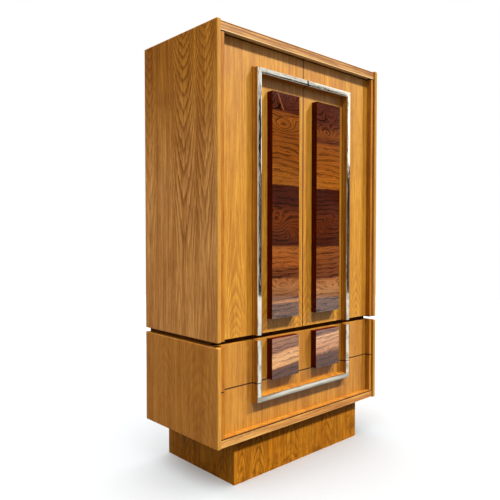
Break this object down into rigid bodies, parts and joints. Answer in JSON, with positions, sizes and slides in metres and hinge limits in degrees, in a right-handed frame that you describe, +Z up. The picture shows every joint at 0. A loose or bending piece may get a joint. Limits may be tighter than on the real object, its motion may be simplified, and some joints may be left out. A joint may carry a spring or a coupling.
{
  "type": "armoire",
  "caption": "Tall oak armoire: a two-door shelf case on a two-drawer case and a set-back plinth, with a chrome faced moulding ring and proud rosewood blocks across the fronts.",
  "frame": {"origin": "centre of the width and depth, on the floor", "axes": "+Z up, +X to the right seen from the front, -Y out of the front (the doors face -Y)"},
  "size_m": [1.016, 0.494, 1.783],
  "materials": {
    "oak_veneer": "golden oak veneer, satin lacquer",
    "oak_solid": "solid oak, satin lacquer",
    "rosewood": "matched rosewood veneer, satin lacquer",
    "chrome_trim": "bright plated strip, slightly worn",
    "dark_batten": "dark stained",
    "steel_hardware": "plated steel",
    "brass_bush": "turned brass",
    "catch_plastic": "brown moulded",
    "back_board": "thin plywood back, raw",
    "inner_timber": "planed softwood",
    "drawer_timber": "birch, clear sealer"
  },
  "bodies": {
    "case": {"bottom_rail": "oak_solid", "case_screws": "steel_hardware", "door_catches": "catch_plastic", "drawer_runners": "inner_timber", "hinge_plates": "steel_hardware", "low_shelf": "oak_veneer", "lower_back_panel": "back_board", "lower_bottom_panel": "oak_veneer", "lower_left_side": "oak_veneer", "lower_right_side": "oak_veneer", "lower_top_panel": "oak_veneer", "middle_shelf": "oak_veneer", "plinth_back": "oak_veneer", "plinth_corner_blocks": "inner_timber", "plinth_front": "oak_veneer", "plinth_left": "oak_veneer", "plinth_right": "oak_veneer", "shelf_pins": "steel_hardware", "spacer_cross_battens": "dark_batten", "spacer_side_battens": "dark_batten", "top_rail": "oak_solid", "top_shelf": "oak_veneer", "upper_back_panel": "back_board", "upper_bottom_panel": "oak_veneer", "upper_left_side": "oak_veneer", "upper_right_side": "oak_veneer", "upper_top_panel": "oak_veneer"},
    "left_door": {"left_door_block": "rosewood", "left_door_bushes": "brass_bush", "left_door_panel": "oak_veneer", "left_door_side_chrome": "chrome_trim", "left_door_side_moulding": "oak_solid", "left_door_strike": "steel_hardware", "left_door_strip": "oak_solid", "left_door_top_chrome": "chrome_trim", "left_door_top_moulding": "oak_solid"},
    "right_door": {"right_door_block": "rosewood", "right_door_bushes": "brass_bush", "right_door_panel": "oak_veneer", "right_door_side_chrome": "chrome_trim", "right_door_side_moulding": "oak_solid", "right_door_strike": "steel_hardware", "right_door_strip": "oak_solid", "right_door_top_chrome": "chrome_trim", "right_door_top_moulding": "oak_solid"},
    "upper_drawer": {"upper_drawer_back": "drawer_timber", "upper_drawer_blocks": "rosewood", "upper_drawer_bottom": "drawer_timber", "upper_drawer_chrome": "chrome_trim", "upper_drawer_front": "oak_veneer", "upper_drawer_mouldings": "oak_solid", "upper_drawer_sides": "drawer_timber", "upper_drawer_strips": "oak_solid"},
    "lower_drawer": {"lower_drawer_back": "drawer_timber", "lower_drawer_bottom": "drawer_timber", "lower_drawer_chrome": "chrome_trim", "lower_drawer_front": "oak_veneer", "lower_drawer_mouldings": "oak_solid", "lower_drawer_sides": "drawer_timber", "lower_drawer_strips": "oak_solid"}
  },
  "joints": [
    {"name": "left_door_hinge", "type": "hinge", "parent": "case", "child": "left_door", "pos_m": [-0.4745, -0.232, 1.16], "axis": [0, 0, -1], "range_deg": [0, 110]},
    {"name": "right_door_hinge", "type": "hinge", "parent": "case", "child": "right_door", "pos_m": [0.4745, -0.232, 1.16], "axis": [0, 0, 1], "range_deg": [0, 110]},
    {"name": "upper_drawer_slide", "type": "slide", "parent": "case", "child": "upper_drawer", "axis": [0, -1, 0], "range_m": [0, 0.32]},
    {"name": "lower_drawer_slide", "type": "slide", "parent": "case", "child": "lower_drawer", "axis": [0, -1, 0], "range_m": [0, 0.32]}
  ]
}
